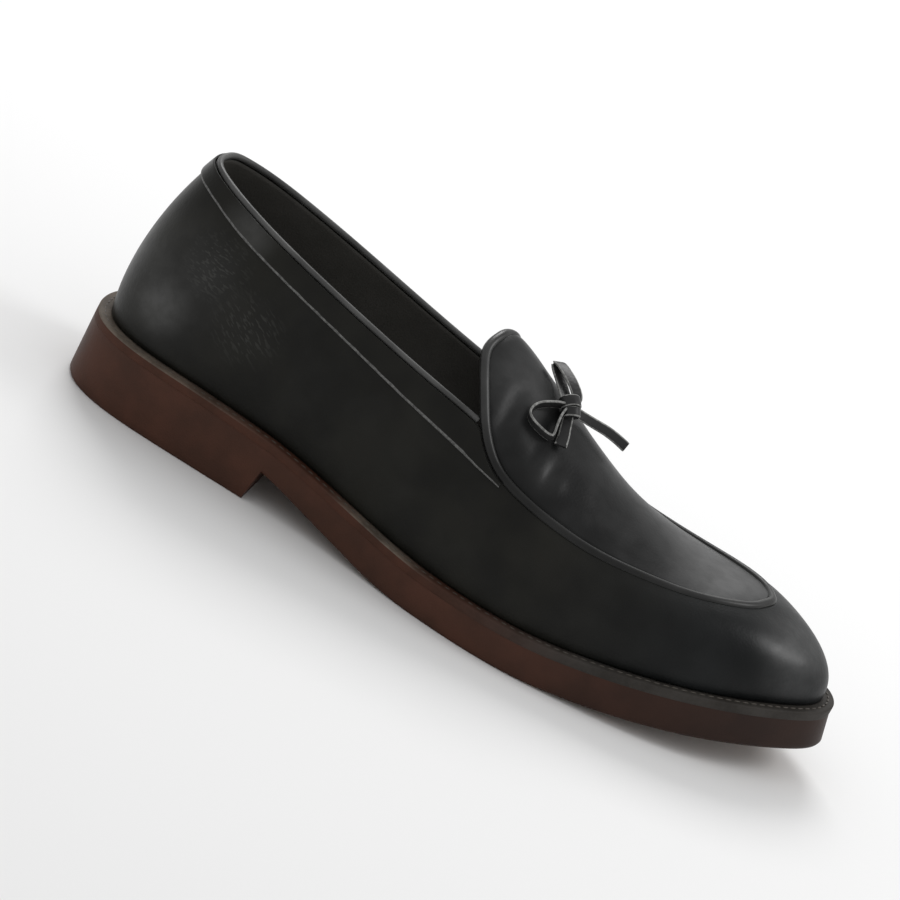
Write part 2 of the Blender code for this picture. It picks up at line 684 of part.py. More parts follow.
# Apron piping: corded bead in the seam and round the edge of the tongue
seam_ring = np.vstack([SEAM_LINE, SEAM_LINE[:1]])
normal_ring = np.vstack([SEAM_NORMAL, SEAM_NORMAL[:1]])
ring_run = np.concatenate([[0.0], np.cumsum(np.linalg.norm(np.diff(seam_ring, axis=0), axis=1))])
even_run = np.linspace(0.0, ring_run[-1], PIPING_STEPS, endpoint=False)
path = np.column_stack([np.interp(even_run, ring_run, seam_ring[:, i]) for i in range(3)])
lift = unit(np.column_stack([np.interp(even_run, ring_run, normal_ring[:, i]) for i in range(3)]))
tube("apron_piping", path + (PIPING_LIFT - APRON_THICK / 2) * lift, PIPING_RADIUS, 6, True, PIPING_LEATHER)

# Bow: leather cord tied over the apron, a knot with two loops and two ends
knot_path = np.array(BOW_KNOT) + np.outer(np.linspace(-1.0, 1.0, len(KNOT_RADII)), KNOT_REACH)
tube("bow_knot", knot_path, KNOT_RADII, 8, False, CORD_LEATHER)
tube("bow_loop_outer", smooth_path(LOOP_OUTER, 26), CORD_RADIUS, 6, False, CORD_LEATHER)
tube("bow_loop_inner", smooth_path(LOOP_INNER, 26), CORD_RADIUS, 6, False, CORD_LEATHER)
tube("bow_end_outer", smooth_path(END_OUTER, 8), CORD_RADIUS, 6, False, CORD_LEATHER)
tube("bow_end_inner", smooth_path(END_INNER, 12), CORD_RADIUS, 6, False, CORD_LEATHER)
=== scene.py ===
"""Looks of the bow loafer: leather, welt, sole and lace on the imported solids, with floor, light, camera."""
import math

import bpy
import numpy as np
from mathutils import Matrix, Vector


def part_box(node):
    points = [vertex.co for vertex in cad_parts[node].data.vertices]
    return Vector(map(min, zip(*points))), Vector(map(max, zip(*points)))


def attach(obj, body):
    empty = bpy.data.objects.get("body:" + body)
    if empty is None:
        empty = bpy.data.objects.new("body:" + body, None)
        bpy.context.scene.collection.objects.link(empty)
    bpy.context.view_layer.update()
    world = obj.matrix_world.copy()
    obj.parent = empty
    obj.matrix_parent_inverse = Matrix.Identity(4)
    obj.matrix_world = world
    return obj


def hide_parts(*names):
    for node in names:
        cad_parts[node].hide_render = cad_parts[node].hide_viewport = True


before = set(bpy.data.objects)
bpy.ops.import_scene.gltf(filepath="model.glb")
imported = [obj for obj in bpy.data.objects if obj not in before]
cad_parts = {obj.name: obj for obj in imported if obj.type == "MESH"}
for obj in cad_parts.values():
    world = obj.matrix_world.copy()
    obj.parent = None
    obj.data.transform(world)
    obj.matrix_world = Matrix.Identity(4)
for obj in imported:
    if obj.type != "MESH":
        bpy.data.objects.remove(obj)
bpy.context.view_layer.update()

# Outsole: one moulded rubber unit with heel, arch and toe spring, cemented under the welt.
# Its side is dark red-brown and satin, its tread is tan with ring lugs and toe ribs.
# Places on the last are in millimetres, and a size that is multiplied by MM is in metres.
MM = 0.001
SOLE_START = 2.0
LAST_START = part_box("outsole")[0][0] - SOLE_START * MM
LAST_AXIS = -0.2 * MM
SEAT_FACING = 0.9
SEAT_RISE = 0.75 * MM
TREAD_FACING = -0.92
TREAD_RIM = 4.0 * MM
GROOVE = 0.6 * MM
INNER_RING = 0.58
INNER_GROOVE = 0.5 * GROOVE
RIB_WIDTH = 1.6 * GROOVE
RIB_FIRST = 246.0
RIB_LAST = 291.0
RIB_PITCH = 3.0
TOE_LINE = 242.0
TOE_ARC = 12.0
TOE_ARC_MIDDLE = 6.0
RUBBER_SKIN = 0.06 * MM
MERGE_REACH = 0.01 * MM
PAIR_ANGLE = 1.2
SMOOTH_ANGLE = math.radians(40)
ROUNDING = 2
UNDER_FLOOR = -20.0
BESIDE = 200.0 * MM
SIDE_COLOUR = (0.068, 0.028, 0.0178)
SIDE_SHADE = (0.047, 0.021, 0.0135)
FORE_COLOUR = (0.027, 0.0140, 0.0102)
FORE_SHADE = (0.020, 0.0104, 0.0078)
TREAD_COLOUR = (0.165, 0.086, 0.035)
TREAD_SHADE = (0.115, 0.058, 0.024)
# columns: x, y, ring radius
TREAD_RINGS = (
    (222.0, -17.0, 7.4), (197.0, -24.0, 7.4), (172.0, -29.0, 7.4), (151.0, -26.5, 6.6),
    (222.0, 22.5, 7.4), (195.0, 21.0, 7.4), (170.0, 16.0, 7.4), (150.0, 11.0, 6.6),
    (208.0, 1.5, 9.0), (181.0, -5.0, 9.0), (157.0, -8.0, 8.4),
    (66.0, -15.0, 6.2), (66.0, 13.0, 6.2), (45.0, -15.5, 6.2), (45.0, 15.0, 6.2),
    (24.0, -11.0, 5.6), (24.0, 11.0, 5.6),
)


def last(x, y, z):
    """Point given in millimetres from the last's zero, its axis and the floor."""
    return Vector((LAST_START + x * MM, LAST_AXIS + y * MM, z * MM))


BALL_END = last(170.0, 0.0, 0.0).x
TOE_START = last(280.0, 0.0, 0.0).x


def only(piece):
    """Leaves edit mode and selects one piece alone."""
    active = bpy.context.view_layer.objects.active
    if active and active.mode != "OBJECT":
        bpy.ops.object.mode_set(mode="OBJECT")
    bpy.ops.object.select_all(action="DESELECT")
    piece.select_set(True)
    bpy.context.view_layer.objects.active = piece


def working_copy(node, name):
    """Copy of a solid with its triangles merged and paired into four-sided faces."""
    piece = bpy.data.objects.new(name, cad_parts[node].data.copy())
    bpy.context.scene.collection.objects.link(piece)
    piece.data.materials.clear()
    only(piece)
    bpy.ops.mesh.customdata_custom_splitnormals_clear()
    bpy.ops.object.mode_set(mode="EDIT")
    bpy.ops.mesh.select_all(action="SELECT")
    bpy.ops.mesh.remove_doubles(threshold=MERGE_REACH)
    bpy.ops.mesh.tris_convert_to_quads(face_threshold=PAIR_ANGLE, shape_threshold=PAIR_ANGLE)
    bpy.ops.object.mode_set(mode="OBJECT")
    return piece


def pick_faces(piece, test):
    """Opens a piece in edit mode with just the faces selected whose centre and normal pass a test."""
    only(piece)
    bpy.ops.object.mode_set(mode="EDIT")
    bpy.ops.mesh.select_mode(type="FACE")
    bpy.ops.mesh.select_all(action="DESELECT")
    bpy.ops.object.mode_set(mode="OBJECT")
    for face in piece.data.polygons:
        face.select = bool(test(face.center, face.normal))
    bpy.ops.object.mode_set(mode="EDIT")


def paint_second(piece, test):
    """Gives the faces that pass a test the piece's second material."""
    pick_faces(piece, test)
    piece.active_material_index = 1
    bpy.ops.object.material_slot_assign()
    bpy.ops.object.mode_set(mode="OBJECT")


def push_faces(piece, test, distance):
    """Moves the faces that pass a test out along their own normals."""
    moves = {}
    for face in piece.data.polygons:
        if test(face.center, face.normal):
            for i in face.vertices:
                moves[i] = moves.get(i, Vector()) + face.normal
    for i, way in moves.items():
        piece.data.vertices[i].co += distance * way.normalized()
    piece.data.update()


def crease_sharp(piece, angle, weight):
    """Creases the edges whose faces meet at more than an angle in degrees."""
    only(piece)
    bpy.ops.object.mode_set(mode="EDIT")
    bpy.ops.mesh.select_mode(type="EDGE")
    bpy.ops.mesh.select_all(action="DESELECT")
    bpy.ops.mesh.edges_select_sharp(sharpness=math.radians(angle))
    bpy.ops.transform.edge_crease(value=weight)
    bpy.ops.object.mode_set(mode="OBJECT")


def join(pieces):
    """Makes one object of several pieces."""
    bpy.ops.object.select_all(action="DESELECT")
    for piece in pieces:
        piece.select_set(True)
    bpy.context.view_layer.objects.active = pieces[0]
    bpy.ops.object.join()
    return pieces[0]


def subdivide(piece):
    """Rounds a piece with an applied subdivision surface and shades it smooth."""
    only(piece)
    bpy.ops.object.modifier_add(type="SUBSURF")
    rounding = piece.modifiers[-1]
    rounding.levels = ROUNDING
    rounding.render_levels = ROUNDING
    bpy.ops.object.modifier_apply(modifier=rounding.name)
    bpy.ops.object.shade_smooth()


class Value:
    """A socket of one finish; arithmetic on it adds Math nodes."""

    def __init__(self, finish, socket):
        self.finish = finish
        self.socket = socket

    def __add__(self, other):
        return self.finish.maths("ADD", self, other)

    def __radd__(self, other):
        return self.finish.maths("ADD", other, self)

    def __sub__(self, other):
        return self.finish.maths("SUBTRACT", self, other)

    def __rsub__(self, other):
        return self.finish.maths("SUBTRACT", other, self)

    def __mul__(self, other):
        return self.finish.maths("MULTIPLY", self, other)

    def __rmul__(self, other):
        return self.finish.maths("MULTIPLY", other, self)


class Finish:
    """One material in the making: its nodes and its Principled shader."""

    def __init__(self, name, **sockets):
        self.material = bpy.data.materials.new(name)
        self.material.use_nodes = True
        self.tree = self.material.node_tree
        self.shader = self.tree.nodes["Principled BSDF"]
        self.place = self.node("ShaderNodeTexCoord", output="Object")
        for socket, value in sockets.items():
            self.set(socket.replace("_", " "), value)

    def feed(self, socket, value):
        if isinstance(value, Value):
            self.tree.links.new(value.socket, socket)
        elif isinstance(value, tuple) and len(value) == 3 and len(socket.default_value) == 4:
            socket.default_value = (*value, 1.0)
        else:
            socket.default_value = value

    def node(self, kind, settings=None, values=None, output=0):
        made = self.tree.nodes.new(kind)
        for key, setting in (settings or {}).items():
            setattr(made, key, setting)
        for key, value in (values or {}).items():
            self.feed(made.inputs[key], value)
        return Value(self, made.outputs[output])

    def maths(self, operation, a, b):
        return self.node("ShaderNodeMath", {"operation": operation}, {0: a, 1: b})

    def along(self, axis):
        return self.node("ShaderNodeSeparateXYZ", None, {"Vector": self.place}, output=axis)

    def noise(self, scale, detail=2.0, rough=0.5):
        return self.node("ShaderNodeTexNoise", None, {"Vector": self.place, "Scale": scale, "Detail": detail,
                                                      "Roughness": rough})

    def between(self, share, a, b):
        return self.node("ShaderNodeMix", {"data_type": "RGBA"}, {0: share, 6: a, 7: b}, output=2)

    def step(self, value, low, high):
        return self.node("ShaderNodeMapRange", {"interpolation_type": "SMOOTHSTEP"},
                         {"Value": value, "From Min": low, "From Max": high})

    def set(self, socket, value):
        self.feed(self.shader.inputs[socket], value)

    def bump(self, height, depth):
        self.set("Normal", self.node("ShaderNodeBump", None, {"Height": height, "Distance": depth}))


def rubber(name, heel, toe, roughness):
    """Moulded rubber with a fine dull skin: clouded in a pair of tones, light and dark, at heel and toe."""
    look = Finish(name, Specular_IOR_Level=0.14)
    clouds = look.noise(60.0, 3.0)
    skin = look.noise(1500.0, 2.0)
    lit = look.step(clouds, 0.3, 0.7)
    heel_tone = look.between(lit, heel[1], heel[0])
    toe_tone = look.between(lit, toe[1], toe[0])
    look.set("Base Color", look.between(look.step(look.along("X"), BALL_END, TOE_START), heel_tone, toe_tone))
    look.set("Roughness", roughness + 0.14 * (skin - 0.5) + 0.1 * (clouds - 0.5))
    look.bump(skin + 0.6 * look.noise(420.0, 3.0), RUBBER_SKIN)
    return look.material


outsole = working_copy("outsole", "outsole_rubber")
push_faces(outsole, lambda centre, normal: normal.z > SEAT_FACING, SEAT_RISE)
crease_sharp(outsole, angle=20, weight=1.0)
subdivide(outsole)
outsole.data.materials.append(rubber("sole_side_rubber", (SIDE_COLOUR, SIDE_SHADE),
                                     (FORE_COLOUR, FORE_SHADE), roughness=0.5))
outsole.data.materials.append(rubber("sole_tread_rubber", (TREAD_COLOUR, TREAD_SHADE),
                                     (TREAD_COLOUR, TREAD_SHADE), roughness=0.6))
paint_second(outsole, lambda centre, normal: normal.z < TREAD_FACING)


def tread_at(x, y):
    """Point of the tread over a place in plan, and its slope along the shoe."""
    _, here, normal, _ = outsole.ray_cast(last(x, y, UNDER_FLOOR), (0.0, 0.0, 1.0))
    return here, math.atan2(normal.x, -normal.z)


def side_at(x, side):
    """Distance of the tread's rim from the last's axis, in millimetres."""
    here, _ = tread_at(x, 0.0)
    start = Vector((here.x, side * BESIDE, here.z + TREAD_RIM))
    _, wall, _, _ = outsole.ray_cast(start, (0.0, -side, 0.0))
    return abs(wall.y - LAST_AXIS) / MM


def ring_cutter(spot, slope, radius, groove, segments):
    """Ring that cuts a round groove into the tread."""
    bpy.ops.mesh.primitive_torus_add(major_segments=segments, minor_segments=6, major_radius=radius * MM,
                                     minor_radius=groove, location=spot, rotation=(0.0, slope, 0.0))
    return bpy.context.object


cutters = []
bpy.ops.object.select_all(action="DESELECT")
for x, y, radius in TREAD_RINGS:
    spot, slope = tread_at(x, y)
    cutters.append(ring_cutter(spot, slope, radius, GROOVE, segments=40))
    cutters.append(ring_cutter(spot, slope, INNER_RING * radius, INNER_GROOVE, segments=32))
ribs = [TOE_LINE] + [RIB_FIRST + RIB_PITCH * i for i in range(int((RIB_LAST - RIB_FIRST) / RIB_PITCH) + 1)]
for x in ribs:
    spot, slope = tread_at(x, 0.0)
    reach_outer = side_at(x, -1.0) - TREAD_RIM / MM
    reach_inner = side_at(x, 1.0) - TREAD_RIM / MM
    middle = Vector((spot.x, LAST_AXIS + (reach_inner - reach_outer) / 2 * MM, spot.z))
    bpy.ops.mesh.primitive_cube_add(size=1.0, location=middle, rotation=(0.0, slope, 0.0))
    bpy.context.object.scale = (RIB_WIDTH, (reach_outer + reach_inner) * MM, RIB_WIDTH)
    cutters.append(bpy.context.object)
spot, slope = tread_at(TOE_LINE - GROOVE / MM, TOE_ARC_MIDDLE)
cutters.append(ring_cutter(spot, slope, TOE_ARC, GROOVE, segments=64))
bpy.ops.object.mode_set(mode="EDIT")
bpy.ops.mesh.select_all(action="SELECT")
bpy.ops.mesh.bisect(plane_co=spot, plane_no=(1.0, 0.0, 0.0), use_fill=True, clear_outer=True)
bpy.ops.object.mode_set(mode="OBJECT")
tread_cutter = join(cutters)
only(outsole)
bpy.ops.object.modifier_add(type="BOOLEAN")
outsole.modifiers[-1].object = tread_cutter
outsole.modifiers[-1].operation = "DIFFERENCE"
bpy.ops.object.modifier_apply(modifier=outsole.modifiers[-1].name)
bpy.data.objects.remove(tread_cutter, do_unlink=True)
bpy.ops.object.shade_smooth_by_angle(angle=SMOOTH_ANGLE)
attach(outsole, "root")
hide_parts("outsole")

# Welt: strip of grey-brown leather, the rim of the midsole, that stands out round the upper.
# From the heel to the waist it is stained like the sole, and its ledge's top faces are painted pale
# at given places; waxed thread sews it to the outsole along the ledge.
WELT_COLOUR = (0.044, 0.040, 0.036)
WELT_SHADE = (0.026, 0.023, 0.020)
LEDGE_COLOUR = (0.15, 0.125, 0.10)
LEDGE_SHADE = (0.07, 0.056, 0.045)
# columns: x, y, z of the middle, radius in millimetres
# places round which the ledge's top faces are painted pale
LEDGE_PALE_PLACES = (
    (14.0, -18.0, 26.0, 84.0),
    (134.0, -44.0, 15.0, 30.0),
)
STAIN_END = last(150.0, 0.0, 0.0).x
GREY_START = last(225.0, 0.0, 0.0).x
LEDGE_FACING = 0.25
FIBRE_DEPTH = 0.12 * MM
THREAD_COLOUR = (0.10, 0.088, 0.074)
THREAD_SHADE = (0.055, 0.0484, 0.0407)
THREAD_TWIST = 0.1 * MM
STITCH_LENGTH = 2.6 * MM
STITCH_PITCH = 3.4 * MM
STITCH_WIDTH = 0.7 * MM
STITCH_HEIGHT = 0.7 * STITCH_WIDTH
STITCH_INSET = 2.2 * MM
STITCHED_FACING = 0.85
STITCHED_ABOVE = 12.0 * MM


def near(look, x, y, z, radius):
    """One at a place on the last, fading to zero at a radius from it."""
    away = look.node("ShaderNodeVectorMath", {"operation": "DISTANCE"},
                     {0: look.place, 1: tuple(last(x, y, z))}, output="Value")
    return 1.0 - look.step(away, 0.1 * radius * MM, radius * MM)


def welt_finish(name, pale_places):
    """Matt fibrous leather: stained from heel to waist, grey-brown at the forefoot, painted pale round given
    places.
    """
    look = Finish(name, Specular_IOR_Level=0.12)
    fibres = look.noise(700.0, 4.0, 0.65)
    clouds = look.step(look.noise(90.0, 2.0) + 0.5 * fibres, 0.45, 1.0)
    stained = look.between(clouds, SIDE_SHADE, SIDE_COLOUR)
    plain = look.between(clouds, WELT_SHADE, WELT_COLOUR)
    pale = look.between(clouds, LEDGE_SHADE, LEDGE_COLOUR)
    tone = look.between(look.step(look.along("X"), STAIN_END, GREY_START), stained, plain)
    # pale tone painted round each given place on the ledge's top faces
    for place in pale_places:
        tone = look.between(near(look, *place), tone, pale)
    look.set("Base Color", tone)
    look.set("Roughness", 0.6 + 0.2 * (fibres - 0.5))
    look.bump(fibres, FIBRE_DEPTH)
    return look.material


welt = working_copy("welt", "welt_strip")
welt.data.materials.append(welt_finish("welt_leather_finish", ()))
welt.data.materials.append(welt_finish("welt_pale_ledge", LEDGE_PALE_PLACES))
paint_second(welt, lambda centre, normal: normal.z > LEDGE_FACING)
crease_sharp(welt, angle=20, weight=0.7)
subdivide(welt)
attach(welt, "root")
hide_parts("welt")


def edge_ring(piece, test, inset):
    """Ordered points of the outline round the picked faces, moved towards the middle by an inset."""
    pick_faces(piece, test)
    bpy.ops.mesh.region_to_loop()
    bpy.ops.object.mode_set(mode="OBJECT")
    links = {}
    for edge in piece.data.edges:
        if edge.select:
            a, b = edge.vertices
            links.setdefault(a, []).append(b)
            links.setdefault(b, []).append(a)
    start = min(links, key=lambda i: piece.data.vertices[i].co.x)
    order = [start, links[start][0]]
    while order[-1] != start:
        onward = [i for i in links[order[-1]] if i != order[-2]]
        order.append(onward[0])
    ring = np.array([piece.data.vertices[i].co for i in order[:-1]])
    along = np.roll(ring, -1, axis=0) - np.roll(ring, 1, axis=0)
    across = np.cross(along, (0.0, 0.0, 1.0))
    across = across / np.linalg.norm(across, axis=1)[:, None]
    outward = np.sign(np.sum(across * (ring - ring.mean(axis=0)), axis=1).sum())
    return ring - inset * outward * across


def even_places(ring, pitch):
    """Evenly spaced points and directions along a closed ring."""
    closed = np.vstack([ring, ring[:1]])
    run = np.concatenate([[0.0], np.cumsum(np.linalg.norm(np.diff(closed, axis=0), axis=1))])
    count = int(round(run[-1] / pitch))
    at = np.linspace(0.0, run[-1], count, endpoint=False)
    step = run[-1] / count / 4
    points = np.column_stack([np.interp(at, run, closed[:, i]) for i in range(3)])
    ahead = np.column_stack([np.interp(at + step, run, closed[:, i]) for i in range(3)])
    return points, ahead - points


def stitches(name, points, ways, size):
    """Joined row of stitches: one rounded bar modelled once and copied to every place."""
    bpy.ops.object.select_all(action="DESELECT")
    bpy.ops.mesh.primitive_uv_sphere_add(segments=8, ring_count=6, radius=0.5)
    first = bpy.context.object
    first.name = name
    first.scale = size
    bpy.ops.object.transform_apply(scale=True)
    model = first.data.copy()
    row = []
    for point, way in zip(points, ways):
        stitch = bpy.data.objects.new(name, model.copy())
        bpy.context.scene.collection.objects.link(stitch)
        turn = Vector(way).to_track_quat("X", "Z").to_matrix().to_4x4()
        stitch.data.transform(Matrix.Translation(Vector(point)) @ turn)
        row.append(stitch)
    bpy.data.objects.remove(first, do_unlink=True)
    seam = join(row)
    bpy.ops.object.shade_smooth()
    seam.name = name
    return seam


def stitched(centre, normal):
    """True on the flat of the welt's ledge."""
    return normal.z > STITCHED_FACING and centre.z > STITCHED_ABOVE


places, ways = even_places(edge_ring(welt, stitched, STITCH_INSET), STITCH_PITCH)
welt_seam = stitches("welt_stitches", places, ways, (STITCH_LENGTH, STITCH_WIDTH, STITCH_HEIGHT))
look = Finish("waxed_thread", Specular_IOR_Level=0.3)
twist = look.noise(2600.0, 2.0)
look.set("Base Color", look.between(twist, THREAD_SHADE, THREAD_COLOUR))
look.set("Roughness", 0.55 + 0.2 * (twist - 0.5))
look.bump(twist, THREAD_TWIST)
welt_seam.data.materials.append(look.material)
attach(welt_seam, "root")

# Insole: board with a black leather sock glued on top, laid inside the upper.
# Only the sock's matt face with its faint nap shows, through the collar.
LINING_COLOUR = (0.066, 0.063, 0.057)
LINING_SHADE = (0.044, 0.042, 0.037)
NAP_DEPTH = 0.08 * MM


def lining(name):
    """Matt lining leather with a fine suede-like nap."""
    look = Finish(name, Specular_IOR_Level=0.25)
    nap = look.noise(1300.0, 3.0, 0.6)
    look.set("Base Color", look.between(look.noise(120.0, 2.0), LINING_SHADE, LINING_COLOUR))
    look.set("Roughness", 0.68 + 0.2 * (nap - 0.5))
    look.bump(nap, NAP_DEPTH)
    return look.material


insole = working_copy("insole", "insole_sock")
crease_sharp(insole, angle=40, weight=0.7)
subdivide(insole)
insole.data.materials.append(lining("insole_lining"))
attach(insole, "root")
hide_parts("insole")

# Upper: quarters and vamp of black calf, lasted over the insole and turned in under the welt's rim.
# The leather is smooth with a fine grain, softly creased on the quarters, and lined inside.
LEATHER_COLOUR = (0.0108, 0.0105, 0.0082)
LEATHER_SHADE = (0.0057, 0.0056, 0.0045)
VAMP_COLOUR = (0.0082, 0.0092, 0.0096)
VAMP_SHADE = (0.0044, 0.0050, 0.0052)
QUARTER_END = last(185.0, 0.0, 0.0).x
VAMP_START = last(262.0, 0.0, 0.0).x
GRAIN_DEPTH = 0.06 * MM
EDGE_NEAR = 1.5 * MM
SEAM_REACH = 1.1 * MM
TOPLINE_REACH = 0.25 * MM
# columns: x, y, z of the middle, radius in millimetres, weight of the polish there
QUARTER_POLISH = (
    (281.0, -8.0, 47.0, 23.0, 0.9),
    (25.0, -29.0, 44.0, 14.0, 0.75),
    (22.0, -27.0, 55.0, 34.0, 0.45),
)
# columns: x, y, z of the middle, radius in millimetres of the finely wrinkled patches, dip of their lines
WRINKLED = (
    (37.0, -29.0, 68.0, 17.0, 8.0),
    (57.0, -33.0, 55.0, 18.0, 28.0),
)
WRINKLE_SIZE = (3.6 * MM, 0.8 * MM, 0.8 * MM)
WRINKLE_DEPTH = 0.10 * MM
WRINKLE_COLOUR = (0.030, 0.030, 0.027)
RUBBED_COLOUR = (0.018, 0.018, 0.0165)
# columns: side, x and z of one end, x and z of the other, half width, depth in millimetres (minus is a ridge)
CREASES = (
    (-1.0, 62.0, 74.0, 84.0, 40.0, 7.0, 0.45),
    (-1.0, 78.0, 72.0, 100.0, 38.0, 6.0, -0.30),
    (-1.0, 96.0, 66.0, 112.0, 36.0, 8.0, 0.40),
    (-1.0, 160.0, 46.0, 196.0, 26.0, 9.0, 0.35),
    (-1.0, 184.0, 44.0, 212.0, 28.0, 8.0, -0.25),
    (1.0, 70.0, 70.0, 92.0, 38.0, 8.0, 0.40),
    (1.0, 165.0, 44.0, 192.0, 24.0, 9.0, 0.35),
)
CREASE_TOP = 60.0 * MM
CREASE_LIFT = 0.35
FACING_SHARE = 0.6
LAST_MIDDLE = last(150.0, 0.0, 0.0).x
LENGTHWAYS_SHARE = 0.2
RIM_FACING = 0.3
COAT_ROUGHNESS = 0.40


def leather(name, colour, shade, roughness, grain, gloss=0.15, uneven=0.0, polished=(), wrinkled=(),
            front=None):
    """Calf leather: pebbled pores, uneven polish, places that are polished more or finely wrinkled.
    A pair of front tones, light and dark, takes over from the quarters to the vamp."""
    look = Finish(name, Specular_IOR_Level=gloss, Coat_Roughness=COAT_ROUGHNESS)
    pores = look.node("ShaderNodeTexVoronoi", None, {"Vector": look.place, "Scale": 900.0})
    pebbles = look.noise(260.0, 5.0, 0.62)
    clouds = look.noise(45.0, 2.0)
    lit = look.step(clouds, 0.3, 0.7)
    tone = look.between(lit, shade, colour)
    if front:
        front_tone = look.between(lit, front[1], front[0])
        tone = look.between(look.step(look.along("X"), QUARTER_END, VAMP_START), tone, front_tone)
    height = 0.55 * pores + pebbles
    for x, y, z, radius, dip in wrinkled:
        patch = near(look, x, y, z, radius)
        turn = (0.0, math.radians(dip), 0.0)
        drawn = look.node("ShaderNodeMapping", {"vector_type": "TEXTURE"},
                          {"Vector": look.place, "Rotation": turn, "Scale": WRINKLE_SIZE})
        strands = look.node("ShaderNodeTexNoise", None, {"Vector": drawn, "Scale": 1.0, "Detail": 1.0})
        lines = look.step(strands, 0.54, 0.66) * patch
        tone = look.between(lines, look.between(0.4 * patch, tone, RUBBED_COLOUR), WRINKLE_COLOUR)
        height = height + (WRINKLE_DEPTH / grain) * lines
    polish = uneven * look.step(look.noise(62.0, 2.0, 0.6), 0.42, 0.66)
    mottled = 0.85 + 0.3 * look.step(look.noise(150.0, 3.0, 0.6), 0.35, 0.65)
    for x, y, z, radius, weight in polished:
        polish = polish + weight * near(look, x, y, z, radius) * mottled
    look.set("Base Color", tone)
    look.set("Roughness", roughness + 0.16 * (clouds - 0.5) + 0.1 * (pebbles - 0.5))
    look.set("Coat Weight", polish)
    look.bump(height, grain)
    return look.material


def press(piece, creases):
    """Moves a wall in at each crease, and down too near the top, fading to the crease's ends and sides."""
    count = len(piece.data.vertices)
    flat = np.empty(count * 3)
    piece.data.vertices.foreach_get("co", flat)
    points = flat.reshape(-1, 3)
    side = np.sign(points[:, 1] - LAST_AXIS)
    outward = np.column_stack([np.zeros(count), side, CREASE_LIFT * (points[:, 2] > CREASE_TOP)])
    for which, x0, z0, x1, z1, half_width, depth in creases:
        start = np.array((LAST_START + x0 * MM, z0 * MM))
        way = np.array((x1 - x0, z1 - z0)) * MM
        length = np.linalg.norm(way)
        way = way / length
        plan = points[:, (0, 2)] - start
        along = plan @ way / length
        aside = (plan @ np.array((-way[1], way[0]))) / (half_width * MM)
        fade = np.clip(1.0 - (2.0 * along - 1.0) ** 2, 0.0, None) ** 0.8
        share = fade * np.exp(-aside ** 2) * (side == which)
        points = points - depth * MM * share[:, None] * outward
    piece.data.vertices.foreach_set("co", points.reshape(-1))
    piece.data.update()


def facing(node, reach):
    """Test for the faces that look at a solid from within a reach."""
    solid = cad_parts[node]

    def test(centre, normal):
        _, spot, _, _ = solid.closest_point_on_mesh(centre)
        way = spot - centre
        return way.length < reach and normal.dot(way.normalized()) > FACING_SHARE

    return test


def inner_wall(centre, normal):
    """True on the upper's inside, which faces the last's middle."""
    outwards = (centre.y - LAST_AXIS) * normal.y + LENGTHWAYS_SHARE * (centre.x - LAST_MIDDLE) * normal.x
    return outwards < 0.0 and normal.z < RIM_FACING


upper = working_copy("upper", "upper_leather")
push_faces(upper, facing("apron_piping", EDGE_NEAR), SEAM_REACH)
push_faces(upper, facing("topline_binding", EDGE_NEAR), TOPLINE_REACH)
crease_sharp(upper, angle=50, weight=0.9)
subdivide(upper)
press(upper, CREASES)
upper.data.materials.append(leather("quarter_leather", LEATHER_COLOUR, LEATHER_SHADE, roughness=0.40,
                                    grain=GRAIN_DEPTH, uneven=0.04, polished=QUARTER_POLISH,
                                    wrinkled=WRINKLED, front=(VAMP_COLOUR, VAMP_SHADE)))
upper.data.materials.append(lining("quarter_lining"))
paint_second(upper, inner_wall)
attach(upper, "root")
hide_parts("upper")

# Collar band: strip of the same leather sewn on below the topline.
# Its rounded lower edge is painted pale, a painted highlight that shows as a fine pale line.
# pale tones of the band's lower edge: a painted highlight
BAND_HIGHLIGHT_COLOUR = (0.15, 0.15, 0.145)
BAND_HIGHLIGHT_SHADE = (0.06, 0.06, 0.058)
BAND_HIGHLIGHT_WIDTH = 0.7 * MM
EDGE_FIBRE = 0.05 * MM
BAND_NEAR = 2.6 * MM
BAND_REACH = 0.9 * MM
LOWER_FACING = -0.6
OUTER_FACING = 0.5
# columns: x, y, z of the middle, radius in millimetres, weight of the polish there
BAND_POLISH = (
    (41.0, -26.0, 85.0, 15.0, 0.8),
)
HEEL_CENTRE = last(40.0, 0.0, 0.0)


def pale_edge(name, colour, shade):
    """Pale edge, paler than the grain side: the lace's cut edges and the band's painted highlight."""
    look = Finish(name, Specular_IOR_Level=0.2)
    fibres = look.noise(900.0, 3.0, 0.6)
    look.set("Base Color", look.between(look.step(fibres, 0.3, 0.7), shade, colour))
    look.set("Roughness", 0.5 + 0.2 * (fibres - 0.5))
    look.bump(fibres, EDGE_FIBRE)
    return look.material


def away_from_axis(place):
    """Level direction from the last's axis outwards, round the heel as well."""
    return Vector((min(0.0, place.x - HEEL_CENTRE.x), place.y - LAST_AXIS, 0.0)).normalized()


def pick_edges(piece, test):
    """Opens a piece in edit mode with just the edges selected whose middle and face normals pass a test."""
    only(piece)
    bpy.ops.object.mode_set(mode="EDIT")
    bpy.ops.mesh.select_mode(type="EDGE")
    bpy.ops.mesh.select_all(action="DESELECT")
    bpy.ops.object.mode_set(mode="OBJECT")
    sides = {}
    for face in piece.data.polygons:
        for key in face.edge_keys:
            sides.setdefault(key, []).append(face.normal.copy())
    for edge in piece.data.edges:
        a, b = (piece.data.vertices[i].co for i in edge.vertices)
        normals = sides[tuple(sorted(edge.vertices))]
        edge.select = len(normals) == 2 and test((a + b) / 2, normals)
    bpy.ops.object.mode_set(mode="EDIT")


def lower_outer_edge(place, normals):
    """True on the edge between the band's face and its lower side."""
    down, face = sorted(normals, key=lambda normal: normal.z)
    return down.z < LOWER_FACING and face.dot(away_from_axis(place)) > OUTER_FACING


